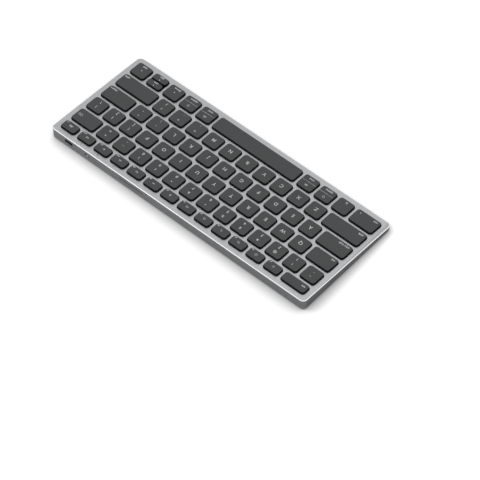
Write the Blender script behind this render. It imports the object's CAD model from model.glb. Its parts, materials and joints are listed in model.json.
import json
import math

import bmesh
import bpy
from mathutils import Matrix, Vector


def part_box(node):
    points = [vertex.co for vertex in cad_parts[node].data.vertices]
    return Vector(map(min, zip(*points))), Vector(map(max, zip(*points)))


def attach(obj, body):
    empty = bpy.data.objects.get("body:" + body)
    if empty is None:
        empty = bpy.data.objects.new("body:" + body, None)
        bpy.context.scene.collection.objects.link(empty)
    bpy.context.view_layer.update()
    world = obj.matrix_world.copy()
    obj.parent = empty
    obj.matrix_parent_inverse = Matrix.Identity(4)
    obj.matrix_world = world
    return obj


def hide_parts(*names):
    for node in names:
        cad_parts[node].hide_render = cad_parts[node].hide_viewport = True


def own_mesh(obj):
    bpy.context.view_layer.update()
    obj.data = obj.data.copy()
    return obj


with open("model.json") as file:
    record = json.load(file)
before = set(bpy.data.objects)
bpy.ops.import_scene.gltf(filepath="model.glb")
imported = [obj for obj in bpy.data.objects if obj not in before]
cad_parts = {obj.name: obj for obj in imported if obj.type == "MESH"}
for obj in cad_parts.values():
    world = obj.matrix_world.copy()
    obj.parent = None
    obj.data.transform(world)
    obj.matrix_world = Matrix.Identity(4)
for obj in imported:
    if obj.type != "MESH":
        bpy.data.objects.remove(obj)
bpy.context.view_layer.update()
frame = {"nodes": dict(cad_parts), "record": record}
MM = 0.001

# --- Sizes, the same as in the part's source ---

PITCH = 19 * MM
WEB = 2.4 * MM
OPENING_DEPTH = 16 * MM
FUNCTION_DEPTH = 10.5 * MM
BORDER = 5.1 * MM
KEY_GAP = 0.3 * MM
HALF_KEY_GAP = 0.6 * MM
CAP_HEIGHT = 2.2 * MM
CAP_RISE = 1.8 * MM
CAP_CORNER = 2.7 * MM
CAP_WALL = 1.0 * MM
CAP_ROOF = 0.9 * MM
CAP_TAPER = 0.22 * MM
CAP_EDGE = 0.38 * MM
FRONT_THICKNESS = 4.5 * MM
REAR_THICKNESS = 11.2 * MM
FOOT_HEIGHT = 1.2 * MM

# Rows from the space bar to the function keys, in units of the pitch
UNITS = [
    [1.5, 1, 1, 1, 5, 1, 1, 1, 1, 1],
    [2.25] + [1] * 10 + [2.25],
    [1.75] + [1] * 11 + [1.75],
    [1.5] + [1] * 13,
    [1] * 13 + [1.5],
    [1.5] + [1] * 13,
]
FRONT, SHIFT, HOME, UPPER, NUMBER, FUNCTION = range(6)
ARROW_COLUMN = 8
FIELD_WIDTH = sum(UNITS[FRONT]) * PITCH
DECK_DEPTH = 5 * OPENING_DEPTH + FUNCTION_DEPTH + 5 * WEB + 2 * BORDER
TILT = math.asin((REAR_THICKNESS - FRONT_THICKNESS) / DECK_DEPTH)
DECK_Z = FOOT_HEIGHT + (FRONT_THICKNESS + REAR_THICKNESS) / 2
ON_DECK = Matrix.Translation((0, 0, DECK_Z)) @ Matrix.Rotation(TILT, 4, "X")

# --- Keys ---

SWITCH_BODY = "power_switch_slider"
SINGLE_KEYS = {
    (FUNCTION, 0): "escape_key",
    (NUMBER, 13): "backspace_key",
    (UPPER, 0): "tab_key",
    (HOME, 0): "caps_lock_key",
    (HOME, 12): "return_key",
    (SHIFT, 0): "left_shift_key",
    (SHIFT, 11): "right_shift_key",
    (FRONT, 4): "space_key",
    (FRONT, 7): "left_arrow_key",
    (FRONT, 9): "right_arrow_key",
}
SHARED_BODIES = {FUNCTION: "function_keys", NUMBER: "number_keys", FRONT: "modifier_keys"}
LETTERS = {UPPER: "qwertyuiop", HOME: "asdfghjkl", SHIFT: "zxcvbnm"}


def body_of_key(row, column, half):
    if half:
        return "up_arrow_key" if half > 0 else "down_arrow_key"
    if (row, column) in SINGLE_KEYS:
        return SINGLE_KEYS[row, column]
    if row in LETTERS and column <= len(LETTERS[row]):
        return "key_" + LETTERS[row][column - 1]
    return SHARED_BODIES.get(row, "punctuation_keys")


class Key:
    """A keycap's place on the deck; half is 1 or -1 for the rear or front key of a shared opening."""

    def __init__(self, row, column, half=0):
        self.row, self.column, self.half = row, column, half
        self.body = body_of_key(row, column, half)
        units = UNITS[row]
        opening = FUNCTION_DEPTH if row == FUNCTION else OPENING_DEPTH
        self.width = units[column] * PITCH - WEB - 2 * KEY_GAP
        self.depth = opening - 2 * KEY_GAP
        self.x = (sum(units[:column]) + units[column] / 2) * PITCH - FIELD_WIDTH / 2
        self.y = BORDER - DECK_DEPTH / 2 + row * (OPENING_DEPTH + WEB) + opening / 2
        if half:
            self.depth = (self.depth - HALF_KEY_GAP) / 2
            self.y += half * (self.depth + HALF_KEY_GAP) / 2

    def at(self, x=0, y=0, z=0):
        return ON_DECK @ Matrix.Translation((self.x + x, self.y + y, z))


def all_keys():
    keys = []
    for row, units in enumerate(UNITS):
        for column in range(len(units)):
            shared = row == FRONT and column == ARROW_COLUMN
            keys += [Key(row, column, half) for half in ((1, -1) if shared else (0,))]
    return keys


KEYS = all_keys()
KEY_BODIES = sorted({key.body for key in KEYS})

# --- Mesh helpers ---

SAME_POINT = 0.002 * MM


def finish_piece(name, mesh, body, finish, replaced=()):
    piece = bpy.data.objects.new(name, mesh)
    bpy.context.scene.collection.objects.link(piece)
    for material in finish if isinstance(finish, list) else [finish]:
        mesh.materials.append(material)
    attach(piece, body)
    if replaced:
        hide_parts(*replaced)
    return piece


def mesh_from(bm, name, crease_angle=35):
    bmesh.ops.remove_doubles(bm, verts=bm.verts, dist=SAME_POINT)
    mesh = bpy.data.meshes.new(name)
    bm.to_mesh(mesh)
    bm.free()
    mesh.shade_smooth()
    mesh.set_sharp_from_angle(angle=math.radians(crease_angle))
    return mesh


def rounded_face(bm, width, depth, radius, z, segments=7):
    """A flat face with round corners, centred over the origin."""
    grid = bmesh.ops.create_grid(bm, x_segments=1, y_segments=1, size=0.5)
    bmesh.ops.scale(bm, vec=(width, depth, 1), verts=grid["verts"])
    bmesh.ops.translate(bm, vec=(0, 0, z), verts=grid["verts"])
    corners = bmesh.ops.bevel(bm, geom=grid["verts"], offset=radius, offset_type="OFFSET", segments=segments,
                              profile=0.5, affect="VERTICES", material=-1)
    return corners["verts"][0].link_faces[0]


def raise_face(bm, face, steps):
    """Lifts a face through steps of (inset, rise)."""
    for inset, rise in steps:
        bmesh.ops.inset_region(bm, faces=[face], thickness=inset, depth=rise, use_boundary=True,
                                use_even_offset=True)


def join_into(bm, part, place):
    """Places a part and adds it to a larger mesh."""
    bmesh.ops.transform(part, verts=part.verts, matrix=place)
    mesh = bpy.data.meshes.new("part")
    part.to_mesh(mesh)
    part.free()
    bm.from_mesh(mesh)
    bpy.data.meshes.remove(mesh)


def close_below(bm):
    """Fills the open rim that raise_face leaves, with a face that looks down."""
    rim = [edge for edge in bm.edges if edge.is_boundary]
    return bmesh.ops.contextual_create(bm, geom=rim)["faces"][0]


def quarter_round(radius, segments):
    """Steps of (inset, rise) that round an edge over."""
    angles = [math.pi / 2 * i / segments for i in range(segments + 1)]
    return [(radius * (math.cos(a) - math.cos(b)), radius * (math.sin(b) - math.sin(a)))
            for a, b in zip(angles, angles[1:])]


# --- Materials ---


def new_material(name, colour, roughness, metallic=0.0, specular=0.5):
    material = bpy.data.materials.new(name)
    material.use_nodes = True
    shader = material.node_tree.nodes["Principled BSDF"]
    shader.inputs["Base Color"].default_value = (*colour, 1)
    shader.inputs["Roughness"].default_value = roughness
    shader.inputs["Metallic"].default_value = metallic
    shader.inputs["Specular IOR Level"].default_value = specular
    return material


def noise(material, scale, detail=4, stretch=(1, 1, 1)):
    """Noise on object coordinates; scale is in features per metre."""
    nodes, links = material.node_tree.nodes, material.node_tree.links
    place = nodes.new("ShaderNodeTexCoord")
    mapping = nodes.new("ShaderNodeMapping")
    mapping.inputs["Scale"].default_value = stretch
    texture = nodes.new("ShaderNodeTexNoise")
    texture.inputs["Scale"].default_value = scale
    texture.inputs["Detail"].default_value = detail
    links.new(place.outputs["Object"], mapping.inputs["Vector"])
    links.new(mapping.outputs["Vector"], texture.inputs["Vector"])
    return texture.outputs["Fac"]


def add_bump(material, height, strength, distance):
    nodes, links = material.node_tree.nodes, material.node_tree.links
    bump = nodes.new("ShaderNodeBump")
    bump.inputs["Strength"].default_value = strength
    bump.inputs["Distance"].default_value = distance
    links.new(height, bump.inputs["Height"])
    links.new(bump.outputs["Normal"], nodes["Principled BSDF"].inputs["Normal"])


def vary(material, socket, value, low, high):
    """Drives a shader socket from noise, between two numbers or two colours."""
    nodes, links = material.node_tree.nodes, material.node_tree.links
    if isinstance(low, tuple):
        ramp = nodes.new("ShaderNodeValToRGB")
        ramp.color_ramp.elements[0].position, ramp.color_ramp.elements[1].position = 0.3, 0.7
        ramp.color_ramp.elements[0].color, ramp.color_ramp.elements[1].color = (*low, 1), (*high, 1)
        links.new(value, ramp.inputs["Fac"])
        links.new(ramp.outputs["Color"], nodes["Principled BSDF"].inputs[socket])
        return
    spread = nodes.new("ShaderNodeMapRange")
    spread.inputs["From Min"].default_value, spread.inputs["From Max"].default_value = 0.3, 0.7
    spread.inputs["To Min"].default_value, spread.inputs["To Max"].default_value = low, high
    links.new(value, spread.inputs["Value"])
    links.new(spread.outputs["Result"], nodes["Principled BSDF"].inputs[socket])


def tinted(colour, factor):
    return tuple(channel * factor for channel in colour)


def blasted_aluminium(name, colour, roughness):
    """Bead-blasted and anodised aluminium, with a fine grain of lighter and darker specks."""
    material = new_material(name, colour, roughness, metallic=1.0)
    vary(material, "Base Color", noise(material, 2000, detail=4), tinted(colour, 0.84), tinted(colour, 1.16))
    vary(material, "Roughness", noise(material, 60), roughness - 0.03, roughness + 0.04)
    add_bump(material, noise(material, 2600, detail=2), 0.3, 0.02 * MM)
    return material


def cut_aluminium(name, colour):
    """The bright chamfers, cut after anodising."""
    material = new_material(name, colour, 0.22, metallic=1.0)
    vary(material, "Roughness", noise(material, 900, stretch=(0.05, 1, 1)), 0.18, 0.27)
    return material


def moulded_plastic(name, colour, roughness, texture=0.12):
    material = new_material(name, colour, roughness)
    vary(material, "Base Color", noise(material, 45), tinted(colour, 0.94), tinted(colour, 1.06))
    vary(material, "Roughness", noise(material, 120), roughness - 0.04, roughness + 0.05)
    add_bump(material, noise(material, 2200, detail=2), texture, 0.015 * MM)
    return material


def rolled_steel(name, colour, roughness=0.35):
    material = new_material(name, colour, roughness, metallic=1.0)
    vary(material, "Roughness", noise(material, 300, stretch=(0.1, 1, 1)), roughness - 0.06, roughness + 0.08)
    return material


def soft_rubber(name, colour, roughness=0.55):
    material = new_material(name, colour, roughness, specular=0.4)
    vary(material, "Roughness", noise(material, 400), roughness - 0.05, roughness + 0.1)
    add_bump(material, noise(material, 1500), 0.15, 0.02 * MM)
    return material


def dark_guide(name):
    """The light guides, which look dark while their lights are off."""
    material = new_material(name, (0.01, 0.01, 0.01), 0.35, specular=0.3)
    vary(material, "Base Color", noise(material, 300), (0.008, 0.008, 0.008), (0.014, 0.014, 0.014))
    material.node_tree.nodes["Principled BSDF"].inputs["Transmission Weight"].default_value = 0.2
    return material


SILVER = (0.405, 0.41, 0.42)
FINISHES = {
    "case": blasted_aluminium("case_aluminium", SILVER, 0.42),
    "cover": blasted_aluminium("cover_aluminium", (0.2, 0.2, 0.205), 0.5),
    "plate_steel": rolled_steel("plate_steel", (0.5, 0.51, 0.52)),
    "membrane": moulded_plastic("membrane_film", (0.012, 0.013, 0.014), 0.5),
    "dome_rubber": soft_rubber("dome_silicone", (0.75, 0.77, 0.77)),
    "scissor_plastic": moulded_plastic("scissor_plastic", (0.72, 0.72, 0.7), 0.4),
    "wire_steel": rolled_steel("stabiliser_steel", (0.6, 0.61, 0.62), 0.25),
    "screw_steel": rolled_steel("screw_steel", (0.45, 0.45, 0.46), 0.3),
    "circuit_board": moulded_plastic("solder_mask", (0.02, 0.1, 0.05), 0.3),
    "battery_pouch": moulded_plastic("battery_foil", (0.05, 0.07, 0.12), 0.35),
    "wire_jacket": moulded_plastic("lead_jacket", (0.42, 0.02, 0.02), 0.4),
    "port_steel": rolled_steel("port_steel", (0.035, 0.035, 0.036), 0.45),
    "switch_metal": rolled_steel("switch_steel", (0.015, 0.015, 0.016), 0.55),
    "switch_knob": moulded_plastic("switch_plastic", (0.36, 0.36, 0.37), 0.4),
    "light_guide": dark_guide("light_guide"),
    "window_plastic": moulded_plastic("window_plastic", (0.16, 0.16, 0.165), 0.5),
    "foot_rubber": soft_rubber("foot_rubber", (0.012, 0.012, 0.013), 0.38),
    "keycap": moulded_plastic("keycap_plastic", (0.04, 0.041, 0.043), 0.5),
}
CHAMFER = cut_aluminium("chamfer_aluminium", (0.86, 0.87, 0.88))
CAP_SIDE = new_material("keycap_side", (0.004, 0.004, 0.004), 0.7, specular=0.1)
vary(CAP_SIDE, "Base Color", noise(CAP_SIDE, 300), (0.003, 0.003, 0.003), (0.006, 0.006, 0.006))
vary(CAP_SIDE, "Roughness", noise(CAP_SIDE, 120), 0.65, 0.75)
BLACK_PLASTIC = moulded_plastic("port_plastic", (0.012, 0.012, 0.013), 0.45)
GOLD = rolled_steel("contact_gold", (0.75, 0.55, 0.25), 0.25)
LEGEND_INK = new_material("legend_ink", (0.75, 0.75, 0.76), 0.6)
vary(LEGEND_INK, "Base Color", noise(LEGEND_INK, 400), (0.7, 0.7, 0.71), (0.8, 0.8, 0.81))


def dress_cad_nodes():
    for subpart in frame["record"]["subparts"]:
        node = frame["nodes"][subpart["node"]]
        node.data.materials.clear()
        node.data.materials.append(FINISHES[subpart["material_slot"]])


# --- Case ---

# Cosines between which a face of the case is one of its cut chamfers
FLAT_TURN = 0.98
CHAMFER_TURN = 0.3
CASE_SAME_POINT = 0.003 * MM
CASE_FLAT_ANGLE = math.radians(0.5)


def make_case():
    """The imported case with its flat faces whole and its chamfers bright."""
    bm = bmesh.new()
    bm.from_mesh(frame["nodes"]["top_case"].data)
    bmesh.ops.remove_doubles(bm, verts=bm.verts, dist=CASE_SAME_POINT)
    bmesh.ops.dissolve_limit(bm, angle_limit=CASE_FLAT_ANGLE, verts=bm.verts, edges=bm.edges)
    bm.normal_update()
    deck_normal = (ON_DECK.to_3x3() @ Vector((0, 0, 1))).normalized()
    for face in bm.faces:
        up = face.normal.dot(deck_normal)
        down = -face.normal.z
        for turn in (up, down):
            if CHAMFER_TURN < turn < FLAT_TURN:
                face.material_index = 1
    mesh = mesh_from(bm, "case")
    finish_piece("case", mesh, "case", [FINISHES["case"], CHAMFER], ["top_case"])


# --- Feet ---

FOOT_LENGTH = 14.5 * MM
FOOT_WIDTH = 4.6 * MM
FOOT_SEAT = 0.3 * MM
FOOT_CORNER = FOOT_WIDTH / 2 - 0.15 * MM
FOOT_EDGE = 0.8 * MM
FOOT_TREAD = 0.5 * MM


def make_feet():
    """Six long feet, made upside down and turned over, with their seats in the cover."""
    low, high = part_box("rubber_feet")
    height = FOOT_HEIGHT + FOOT_SEAT
    bm = bmesh.new()
    for x in (low.x + FOOT_LENGTH / 2, 0, high.x - FOOT_LENGTH / 2):
        for y in (low.y + FOOT_WIDTH / 2, high.y - FOOT_WIDTH / 2):
            foot = bmesh.new()
            sole = rounded_face(foot, FOOT_LENGTH, FOOT_WIDTH, FOOT_CORNER, 0, segments=10)
            straight = [(0, height - FOOT_EDGE)]
            raise_face(foot, sole, straight + quarter_round(FOOT_EDGE, 5) + [(FOOT_TREAD, 0)])
            close_below(foot)
            join_into(bm, foot, Matrix.Translation((x, y, height)) @ Matrix.Rotation(math.pi, 4, "X"))
    finish_piece("feet", mesh_from(bm, "feet"), "case", FINISHES["foot_rubber"],
                 ["rubber_feet"])


# --- Keycaps ---

# The dish of a cap's top, in steps of (inset, rise), and the flat rim under its skirt
CAP_DISH = [(0.8 * MM, -0.02 * MM), (1.2 * MM, -0.02 * MM)]
CAP_RIM = 0.12 * MM
HOMING_BAR = (4 * MM, 0.5 * MM, 0.4 * MM)
HOMING_BAR_LINE = -5.6 * MM
HOMING_BAR_SINK = 0.02 * MM
HOMING_BAR_EDGE = 0.15 * MM


def add_keycap(bm, key):
    """A hollow cap: tapered sides, a rounded top edge and a very shallow dish."""
    cap = bmesh.new()
    skirt = CAP_RISE - CAP_HEIGHT
    top = rounded_face(cap, key.width, key.depth, CAP_CORNER, skirt)
    side = CAP_HEIGHT - CAP_EDGE
    raise_face(cap, top, [(CAP_TAPER, side)])
    raise_face(cap, top, quarter_round(CAP_EDGE, 4))
    for face in cap.faces:
        face.material_index = 0 if face == top else 1
    raise_face(cap, top, CAP_DISH)
    raise_face(cap, close_below(cap), [(CAP_RIM, 0), (CAP_WALL - CAP_RIM, 0), (0, CAP_ROOF - CAP_HEIGHT)])
    join_into(bm, cap, key.at())


def add_homing_bar(bm, key):
    """The low bar by which a finger finds its home key."""
    made = bmesh.ops.create_cube(bm, size=1)
    bmesh.ops.scale(bm, vec=HOMING_BAR, verts=made["verts"])
    edges = list(dict.fromkeys(edge for vert in made["verts"] for edge in vert.link_edges))
    place = key.at(0, HOMING_BAR_LINE, CAP_RISE - HOMING_BAR_SINK)
    bmesh.ops.transform(bm, verts=made["verts"], matrix=place)
    bmesh.ops.bevel(bm, geom=edges, offset=HOMING_BAR_EDGE, offset_type="OFFSET", segments=2, profile=0.5,
                    affect="EDGES", material=-1)


def make_keycaps():
    for body in KEY_BODIES:
        bm = bmesh.new()
        for key in KEYS:
            if key.body == body:
                add_keycap(bm, key)
                if body in ("key_f", "key_j"):
                    add_homing_bar(bm, key)
        finish_piece(body + "_cap", mesh_from(bm, body), body, [FINISHES["keycap"], CAP_SIDE],
                     [body])


# --- Key supports ---

# Height, seen from the deck, of the membrane that the supports stand on
# Each node's word for one support, its material slot, and the share of its height left under a pressed key
SUPPORTS = {
    "rubber_domes": ("dome", "dome_rubber", 0.5),
    "scissor_outer_frames": ("outer_frame", "scissor_plastic", 0.48),
    "scissor_inner_frames": ("inner_frame", "scissor_plastic", 0.48),
    "stabiliser_wires": ("wire", "wire_steel", 0.46),
}


def key_over(point):
    """The key whose cap lies over a point of the deck."""
    def outside(key):
        return max(abs(point.x - key.x) - key.width / 2, abs(point.y - key.y) - key.depth / 2)
    return min(KEYS, key=outside)


def solid_from(start, seen):
    """All the vertices that hang together with one of them."""
    solid = [start]
    seen.add(start)
    for vert in solid:
        for edge in vert.link_edges:
            other = edge.other_vert(vert)
            if other not in seen:
                seen.add(other)
                solid.append(other)
    return solid


def parted_by_key(node):
    """Copies of a node's solids, gathered by the body of the key over each."""
    whole = bmesh.new()
    whole.from_mesh(frame["nodes"][node].data)
    bmesh.ops.remove_doubles(whole, verts=whole.verts, dist=SAME_POINT)
    whole.verts.index_update()
    to_deck = ON_DECK.inverted()
    gathered, seen = {}, set()
    for start in whole.verts:
        if start not in seen:
            solid = solid_from(start, seen)
            middle = sum((vert.co for vert in solid), Vector()) / len(solid)
            body = key_over(to_deck @ middle).body
            gathered.setdefault(body, set()).update(vert.index for vert in solid)
    parts = {}
    for body, kept in gathered.items():
        parts[body] = whole.copy()
        others = [vert for vert in parts[body].verts if vert.index not in kept]
        bmesh.ops.delete(parts[body], geom=others, context="VERTS")
    whole.free()
    return parts


def make_supports():
    """The domes, scissors and wires, which fold down under the key over them."""
    for node, (word, slot, keep) in SUPPORTS.items():
        for body, bm in parted_by_key(node).items():
            name = f"{body}_{word}"
            piece = finish_piece(name, mesh_from(bm, name), "case", FINISHES[slot], [node])
            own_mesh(piece)


# --- Rear fittings ---

SHELL_WALL = 0.3 * MM
SHELL_BACK = 0.6 * MM
SHELL_EDGE = 0.1 * MM
TONGUE_WIDTH = 6.7 * MM
TONGUE_THICKNESS = 0.7 * MM
TONGUE_REACH = 5.2 * MM
TONGUE_EDGE = 0.15 * MM
CONTACTS = 12
CONTACT_STEP = 0.5 * MM
CONTACT = (0.26 * MM, 0.06 * MM, 2.6 * MM)
CONTACT_MIDDLE = TONGUE_REACH - 1.7 * MM
KNOB_WIDTH = 2.2 * MM
KNOB_CORNER = 0.35 * MM
KNOB_EDGE = 0.25 * MM
FLANGE_THICKNESS = 0.8 * MM
FLANGE_CORNER = 0.2 * MM
RIDGE = 0.12 * MM
RIDGE_WIDTH = 0.22 * MM
RIDGE_END = 0.35 * MM
RIDGE_PLACES = (-0.5 * MM, 0, 0.5 * MM)


def facing_rear(x, y, z):
    """Places a shape so that what it raises points to the rear."""
    return Matrix.Translation((x, y, z)) @ Matrix.Rotation(-math.pi / 2, 4, "X")


def block(bm, size, place):
    made = bmesh.ops.create_cube(bm, size=1)
    bmesh.ops.scale(bm, vec=size, verts=made["verts"])
    bmesh.ops.translate(bm, vec=place, verts=made["verts"])


def make_port():
    """The charging port: a shell around a tongue with contacts on both sides."""
    low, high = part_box("usb_c_port")
    width, length, height = high - low
    back = facing_rear((low.x + high.x) / 2, low.y, (low.z + high.z) / 2)
    shell = bmesh.new()
    rim = rounded_face(shell, width, height, height / 2 - SHELL_EDGE, 0, segments=10)
    edge = quarter_round(SHELL_EDGE, 3)
    lip = [(rise, -inset) for inset, rise in reversed(edge)]
    raise_face(shell, rim, [(0, length - SHELL_EDGE)] + edge + [(SHELL_WALL - 2 * SHELL_EDGE, 0)] + lip)
    raise_face(shell, rim, [(0, SHELL_BACK - length + SHELL_EDGE)])
    close_below(shell)
    bmesh.ops.transform(shell, verts=shell.verts, matrix=back)
    finish_piece("port_shell", mesh_from(shell, "port_shell"), "case", FINISHES["port_steel"],
                 ["usb_c_port"])
    tongue = bmesh.new()
    tip = rounded_face(tongue, TONGUE_WIDTH, TONGUE_THICKNESS, TONGUE_THICKNESS / 2 - 0.05 * MM, 0)
    raise_face(tongue, tip, [(0, TONGUE_REACH - SHELL_BACK - TONGUE_EDGE), (TONGUE_EDGE, TONGUE_EDGE)])
    close_below(tongue)
    bmesh.ops.transform(tongue, verts=tongue.verts, matrix=back @ Matrix.Translation((0, 0, SHELL_BACK)))
    finish_piece("port_tongue", mesh_from(tongue, "port_tongue"), "case", BLACK_PLASTIC, ())
    contacts = bmesh.new()
    for number in range(CONTACTS):
        x = (number - (CONTACTS - 1) / 2) * CONTACT_STEP
        for side in (-1, 1):
            block(contacts, CONTACT, (x, side * TONGUE_THICKNESS / 2, CONTACT_MIDDLE))
    bmesh.ops.transform(contacts, verts=contacts.verts, matrix=back)
    finish_piece("port_contacts", mesh_from(contacts, "port_contacts"), "case", GOLD, ())


def make_switch_knob():
    """A round-edged knob with three ridges for a fingertip, on the flange that holds it in its housing."""
    low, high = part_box("power_switch_slider")
    width, length, height = high - low
    inner = facing_rear((low.x + high.x) / 2, low.y, (low.z + high.z) / 2)
    bm = bmesh.new()
    flange = rounded_face(bm, width, height, FLANGE_CORNER, 0)
    raise_face(bm, flange, [(0, FLANGE_THICKNESS)])
    close_below(bm)
    knob = bmesh.new()
    end = rounded_face(knob, KNOB_WIDTH, height, KNOB_CORNER, 0)
    reach = length - FLANGE_THICKNESS - RIDGE
    raise_face(knob, end, [(0, reach - KNOB_EDGE)] + quarter_round(KNOB_EDGE, 4))
    close_below(knob)
    for x in RIDGE_PLACES:
        block(knob, (RIDGE_WIDTH, height - 2 * RIDGE_END, 2 * RIDGE), (x, 0, reach))
    join_into(bm, knob, Matrix.Translation((0, 0, FLANGE_THICKNESS)))
    bmesh.ops.transform(bm, verts=bm.verts, matrix=inner)
    finish_piece("power_switch_knob", mesh_from(bm, "power_switch_knob"), SWITCH_BODY,
                 FINISHES["switch_knob"], ["power_switch_slider"])


# --- Legends ---

INK_LIFT = 0.015 * MM
STROKE_GROWTH = 0.05 * MM

# Text sizes, and below them lines and margins, in millimetres
LETTER = 4.8
DIGIT = 3.9
SYMBOL = 3.3
WORD = 2.9
SMALL = 2.2
CORNER_WORDS = {
    (FUNCTION, 0): ("esc", -1),
    (UPPER, 0): ("tab", -1),
    (HOME, 0): ("caps lock", -1),
    (SHIFT, 0): ("shift", -1),
    (FRONT, 0): ("ctrl", -1),
    (HOME, 12): ("return", 1),
    (SHIFT, 11): ("shift", 1),
}
PAIRS = {
    NUMBER: (0, ["~`", "!1", "@2", "#3", "$4", "%5", "^6", "&7", "*8", "(9", ")0", "_-", "+="]),
    UPPER: (11, ["{[", "}]", "|\\"]),
    HOME: (10, [":;", "\"'"]),
    SHIFT: (8, ["<,", ">.", "?/"]),
}
# Lines that the legends stand on, from the cap's centre or its front edge
UPPER_LINE = 2.4
LOWER_LINE = -3.9
LETTER_LINE = -0.8
DIVIDER_LINE = -1.1
ALTERNATIVE_LINE = 3.0
ESCAPE_LINE = -1.2
FUNCTION_NUMBER_LINE = -3.6
HALF_WORD_LINE = -1.7
WORD_FROM_FRONT = 2.9
LEFT_MARGIN = 3.2
RIGHT_MARGIN = 1.6
CARET_MARGIN = 4.5
FUNCTION_NUMBER_MARGIN = 1.5
FRONT_WORDS = {1: "fn", 2: "option", 3: "cmd", 5: "cmd", 6: "option", 7: "home", 9: "end"}
COMMAND_KEYS = (3, 5)
OPTION_KEYS = (2, 6)
DELETE_COLUMN = 13


def text_marks(key):
    """The words of a key as (text, size, x, y, alignment), in millimetres from the cap's centre."""
    edge_x, edge_y = key.width / MM / 2, key.depth / MM / 2
    place = (key.row, key.column)
    if key.half:
        return [("pgup" if key.half > 0 else "pgdn", SMALL, 0, HALF_WORD_LINE, "CENTER")]
    if place in CORNER_WORDS:
        word, side = CORNER_WORDS[place]
        line = ESCAPE_LINE if key.row == FUNCTION else WORD_FROM_FRONT - edge_y
        if side > 0:
            return [(word, WORD, edge_x - RIGHT_MARGIN, line, "RIGHT")]
        marks = [(word, WORD, LEFT_MARGIN - edge_x, line, "LEFT")]
        if place == (FRONT, 0):
            marks.append(("^", WORD, edge_x - CARET_MARGIN, line, "CENTER"))
        return marks
    if place == (FUNCTION, DELETE_COLUMN):
        return [("del", WORD, 0, LETTER_LINE, "CENTER")]
    if key.row == FUNCTION:
        return [(f"F{key.column}", SMALL, edge_x - FUNCTION_NUMBER_MARGIN, FUNCTION_NUMBER_LINE, "RIGHT")]
    first, pairs = PAIRS.get(key.row, (0, []))
    if 0 <= key.column - first < len(pairs):
        upper, lower = pairs[key.column - first]
        return [(upper, SYMBOL, 0, UPPER_LINE, "CENTER"), (lower, DIGIT, 0, LOWER_LINE, "CENTER")]
    letters = LETTERS.get(key.row, "")
    if 1 <= key.column <= len(letters):
        return [(letters[key.column - 1].upper(), LETTER, 0, LETTER_LINE, "CENTER")]
    marks = []
    if key.row == FRONT and key.column in FRONT_WORDS:
        marks.append((FRONT_WORDS[key.column], WORD, 0, WORD_FROM_FRONT - edge_y, "CENTER"))
    if key.row == FRONT and key.column in COMMAND_KEYS:
        marks.append(("alt", WORD, 0, ALTERNATIVE_LINE, "CENTER"))
    return marks


def text_mesh(text, size, align):
    """Flat letters, a little bolder than the font's own."""
    curve = bpy.data.curves.new("legend", "FONT")
    curve.body, curve.size = text, size * MM
    curve.align_x, curve.align_y = align, "CENTER"
    curve.resolution_u = 3
    curve.offset = STROKE_GROWTH
    holder = bpy.data.objects.new("legend", curve)
    bpy.context.scene.collection.objects.link(holder)
    bpy.context.view_layer.update()
    drawn = holder.evaluated_get(bpy.context.evaluated_depsgraph_get())
    mesh = bpy.data.meshes.new_from_object(drawn)
    bpy.data.objects.remove(holder)
    bpy.data.curves.remove(curve)
    return mesh


# Strokes of the drawn signs, in millimetres from the sign's middle and in degrees
STROKE = 0.22
STROKE_LAP = 0.02


def bar(bm, x, y, width, height, turn=0):
    made = bmesh.ops.create_grid(bm, x_segments=1, y_segments=1, size=0.5 * MM)
    place = Matrix.Translation((x * MM, y * MM, 0)) @ Matrix.Rotation(math.radians(turn), 4, "Z")
    bmesh.ops.transform(bm, matrix=place @ Matrix.Diagonal((width, height, 1, 1)), verts=made["verts"])


def disc(bm, x, y, radius, segments=16, turn=0):
    place = Matrix.Translation((x * MM, y * MM, 0)) @ Matrix.Rotation(math.radians(turn), 4, "Z")
    bmesh.ops.create_circle(bm, cap_ends=True, segments=segments, radius=radius * MM, matrix=place)


def ring(bm, x, y, radius, segments=20):
    for i in range(segments):
        a = 2 * math.pi * i / segments
        side = 2 * radius * math.tan(math.pi / segments) + STROKE_LAP
        bar(bm, x + radius * math.cos(a), y + radius * math.sin(a), STROKE, side, math.degrees(a))


def arc(bm, x, y, radius, start=-45, stop=45, segments=6):
    step = (stop - start) / segments
    for i in range(segments):
        a = start + step * (i + 0.5)
        side = 2 * radius * math.tan(math.radians(step / 2)) + STROKE_LAP
        across, up = math.cos(math.radians(a)), math.sin(math.radians(a))
        bar(bm, x + radius * across, y + radius * up, STROKE, side, a)


def triangle(bm, x, y, radius, turn):
    disc(bm, x, y, radius, segments=3, turn=turn)


def sun(bm, radius, rays):
    ring(bm, 0, 0, radius)
    for i in range(8):
        a = math.radians(45 * i)
        reach = radius + 0.35 + rays / 2
        bar(bm, reach * math.cos(a), reach * math.sin(a), rays, 0.2, 45 * i)


def speaker(bm, waves):
    bar(bm, -1.1, 0, 0.5, 0.9)
    triangle(bm, -0.55, 0, 0.9, 180)
    for i in range(waves):
        arc(bm, -0.5, 0, 0.9 + 0.6 * i)


def screens(bm):
    for x, y, w, h in ((-0.5, 0.25, 1.7, 1.3), (0.7, -0.35, 1.5, 1.1)):
        for side in (-1, 1):
            bar(bm, x + side * w / 2, y, 0.2, h + 0.2)
            bar(bm, x, y + side * h / 2, w + 0.2, 0.2)


def magnifier(bm):
    ring(bm, -0.2, 0.2, 0.75)
    bar(bm, 0.75, -0.75, 1.1, 0.26, -45)


def house(bm):
    for side in (-1, 1):
        bar(bm, side * 0.55, 0.55, 1.5, 0.22, -side * 38)
        bar(bm, side * 0.8, -0.35, 0.22, 1.1)
    bar(bm, 0, -0.85, 1.8, 0.22)


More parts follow.
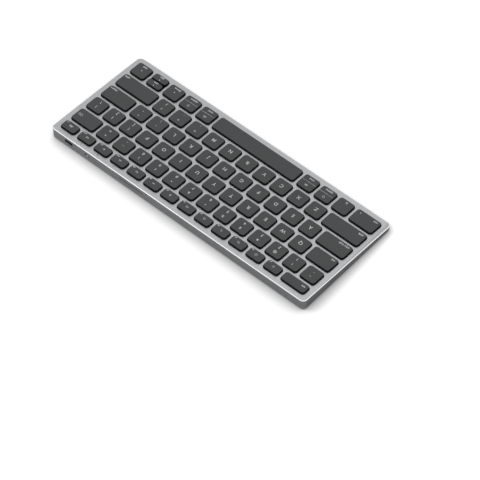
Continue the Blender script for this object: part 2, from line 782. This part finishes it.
def envelope(bm):
    for side in (-1, 1):
        bar(bm, side * 1.1, 0, 0.2, 1.6)
        bar(bm, 0, side * 0.75, 2.3, 0.2)
        bar(bm, side * 0.52, 0.3, 1.35, 0.2, side * 38)


def microphone(bm):
    bar(bm, 0, 0.35, 0.7, 1.2)
    arc(bm, 0, 0.25, 0.85, start=180, stop=360, segments=8)
    bar(bm, 0, -0.95, 0.22, 0.7)
    bar(bm, 0, -1.25, 1.0, 0.2)


def skip(bm, way):
    for x in (-0.55, 0.55):
        triangle(bm, x, 0, 0.75, 0 if way > 0 else 180)


def play_pause(bm):
    triangle(bm, -0.7, 0, 0.85, 0)
    for x in (0.45, 1.0):
        bar(bm, x, 0, 0.28, 1.3)


def backspace(bm):
    for side in (-1, 1):
        bar(bm, 0.5, side * 1.0, 3.4, 0.24)
        bar(bm, -1.7, side * 0.5, 1.5, 0.24, side * 45)
        bar(bm, 0.6, 0, 1.5, 0.24, side * 45)
    bar(bm, 2.2, 0, 0.24, 2.2)


def lozenge(bm):
    for turn in range(45, 405, 90):
        a = math.radians(turn)
        bar(bm, 0.85 * math.cos(a), 0.85 * math.sin(a), 0.26, 1.9, turn)


FUNCTION_ICONS = [
    lambda bm: sun(bm, 0.5, 0.4),
    lambda bm: sun(bm, 0.65, 0.6),
    screens,
    magnifier,
    house,
    envelope,
    microphone,
    lambda bm: skip(bm, -1),
    play_pause,
    lambda bm: skip(bm, 1),
    lambda bm: speaker(bm, 1),
    lambda bm: speaker(bm, 2),
]


ARROW = 0.75
SIDE_ARROWS = {7: 180, 9: 0}
SIDE_ARROW_LINE = -0.4
HALF_ARROW_LINE = 1.5
FUNCTION_ICON_LINE = -0.6
LOCK_RING_PLACE = (5.2, -3.3)
BACKSPACE_MARGIN = 4.6
DIVIDER_MARGIN = 0.8
DIVIDER_WIDTH = 0.2


def arrow(turn):
    return lambda bm: triangle(bm, 0, 0, ARROW, turn)


def icon_marks(key):
    """The drawn signs of a key as (drawing, x, y), in millimetres from the cap's centre."""
    place = (key.row, key.column)
    width = key.width / MM
    if key.half:
        return [(arrow(90 * key.half), 0, HALF_ARROW_LINE)]
    if place == (FUNCTION, DELETE_COLUMN):
        return [(lambda bm: ring(bm, 0, 0, ARROW), *LOCK_RING_PLACE)]
    if key.row == FUNCTION and key.column > 0:
        return [(FUNCTION_ICONS[key.column - 1], 0, FUNCTION_ICON_LINE)]
    if key.body == "backspace_key":
        return [(backspace, width / 2 - BACKSPACE_MARGIN, LETTER_LINE)]
    marks = []
    if key.row == FRONT and key.column in SIDE_ARROWS:
        marks.append((arrow(SIDE_ARROWS[key.column]), 0, SIDE_ARROW_LINE))
    if key.row == FRONT and key.column in OPTION_KEYS + COMMAND_KEYS:
        marks.append((lambda bm: bar(bm, 0, 0, width - 2 * DIVIDER_MARGIN, DIVIDER_WIDTH), 0, DIVIDER_LINE))
    if key.row == FRONT and key.column in OPTION_KEYS:
        marks.append((lozenge, 0, ALTERNATIVE_LINE))
    return marks


def make_legends():
    """One sheet of ink marks for each body's caps."""
    for body in KEY_BODIES:
        bm = bmesh.new()
        for key in KEYS:
            if key.body != body:
                continue
            for text, size, x, y, align in text_marks(key):
                mesh = text_mesh(text, size, align)
                mesh.transform(key.at(x * MM, y * MM, CAP_RISE + INK_LIFT))
                bm.from_mesh(mesh)
            for draw, x, y in icon_marks(key):
                sign = bmesh.new()
                draw(sign)
                join_into(bm, sign, key.at(x * MM, y * MM, CAP_RISE + INK_LIFT))
        if bm.verts:
            mesh = bpy.data.meshes.new(body + "_legend")
            bm.to_mesh(mesh)
            finish_piece(body + "_legend", mesh, body, LEGEND_INK, ())
        bm.free()


# --- Room ---

CAMERA_PLACE = Vector((-1002.1, 1086.8, 1848.55)) * MM
CAMERA_TARGET = Vector((-58.6, 40.0, 9.05)) * MM
CAMERA_LENS = 210.4
CAMERA_ROLL = math.radians(-0.9)
CAMERA_REACH = (0.05, 50)
FLOOR_RADIUS = 6
FLOOR_GREY = 0.4
# How bright the white ground is in the case's reflections
GROUND_IN_METAL = 0.08
# How far the case keeps the glow off the floor, and how strongly
SHADOW_REACH = 0.05
SHADOW_DEPTH = 2
# The world's strength on the object; where it is seen, or mirrored, it is 1
WORLD_ON_OBJECT = 0.3
# Each lamp's place, size and power
LAMPS = {
    "key_light": ((1.1, 0.9, 1.5), 1.0, 20),
    "top_light": ((-0.3, -0.6, 1.9), 1.0, 1.5),
    "near_light": ((0.05, -0.3, 0.7), 0.4, 0.25),
}


def make_camera():
    data = bpy.data.cameras.new("camera")
    data.lens = CAMERA_LENS
    data.clip_start, data.clip_end = CAMERA_REACH
    camera = bpy.data.objects.new("camera", data)
    camera.location = CAMERA_PLACE
    aim = (CAMERA_TARGET - CAMERA_PLACE).to_track_quat("-Z", "Y").to_matrix()
    camera.rotation_euler = (aim @ Matrix.Rotation(CAMERA_ROLL, 3, "Z")).to_euler()
    bpy.context.scene.collection.objects.link(camera)
    bpy.context.scene.camera = camera


def seen_directly(tree, in_mirrors=1.0):
    """1 for camera rays that show the background, and in_mirrors for rays off metal or through glass."""
    path = tree.nodes.new("ShaderNodeLightPath")
    mirrored = tree.nodes.new("ShaderNodeMath")
    mirrored.operation = "MAXIMUM"
    tree.links.new(path.outputs["Is Glossy Ray"], mirrored.inputs[0])
    tree.links.new(path.outputs["Is Transmission Ray"], mirrored.inputs[1])
    weakened = tree.nodes.new("ShaderNodeMath")
    weakened.operation = "MULTIPLY"
    tree.links.new(mirrored.outputs[0], weakened.inputs[0])
    weakened.inputs[1].default_value = in_mirrors
    either = tree.nodes.new("ShaderNodeMath")
    either.operation = "MAXIMUM"
    tree.links.new(path.outputs["Is Camera Ray"], either.inputs[0])
    tree.links.new(weakened.outputs[0], either.inputs[1])
    return either.outputs[0]


def make_floor():
    bm = bmesh.new()
    bmesh.ops.create_circle(bm, cap_ends=True, segments=96, radius=FLOOR_RADIUS)
    mesh = bpy.data.meshes.new("floor")
    bm.to_mesh(mesh)
    bm.free()
    material = bpy.data.materials.new("floor_white")
    material.use_nodes = True
    tree = material.node_tree
    shader = tree.nodes["Principled BSDF"]
    shader.inputs["Base Color"].default_value = (FLOOR_GREY, FLOOR_GREY, FLOOR_GREY, 1)
    shader.inputs["Roughness"].default_value = 0.9
    shader.inputs["Emission Color"].default_value = (1, 1, 1, 1)
    # The glow fades in the corner under the case, so that the shadow there stays
    open_air = tree.nodes.new("ShaderNodeAmbientOcclusion")
    open_air.inputs["Distance"].default_value = SHADOW_REACH
    fade = tree.nodes.new("ShaderNodeMath")
    fade.operation = "POWER"
    tree.links.new(open_air.outputs["AO"], fade.inputs[0])
    fade.inputs[1].default_value = SHADOW_DEPTH
    glow = tree.nodes.new("ShaderNodeMath")
    glow.operation = "MULTIPLY"
    tree.links.new(seen_directly(tree, in_mirrors=GROUND_IN_METAL), glow.inputs[0])
    tree.links.new(fade.outputs[0], glow.inputs[1])
    tree.links.new(glow.outputs[0], shader.inputs["Emission Strength"])
    mesh.materials.append(material)
    floor = bpy.data.objects.new("floor", mesh)
    bpy.context.scene.collection.objects.link(floor)


def make_lamp(name, place, size, power):
    data = bpy.data.lights.new(name, "AREA")
    data.shape, data.size, data.energy = "DISK", size, power
    lamp = bpy.data.objects.new(name, data)
    lamp.location = place
    lamp.rotation_euler = (-Vector(place)).to_track_quat("-Z", "Y").to_euler()
    bpy.context.scene.collection.objects.link(lamp)


def make_light():
    world = bpy.data.worlds.new("studio")
    bpy.context.scene.world = world
    world.use_nodes = True
    tree = world.node_tree
    strength = tree.nodes.new("ShaderNodeMapRange")
    strength.inputs["To Min"].default_value = WORLD_ON_OBJECT
    strength.inputs["To Max"].default_value = 1.0
    tree.links.new(seen_directly(tree), strength.inputs["Value"])
    tree.nodes["Background"].inputs["Color"].default_value = (1, 1, 1, 1)
    tree.links.new(strength.outputs["Result"], tree.nodes["Background"].inputs["Strength"])
    for name, (place, size, power) in LAMPS.items():
        make_lamp(name, place, size, power)


bpy.context.scene.view_settings.view_transform = "Standard"
make_camera()
make_floor()
make_light()
dress_cad_nodes()
make_case()
make_feet()
make_keycaps()
make_supports()
make_port()
make_switch_knob()
make_legends()
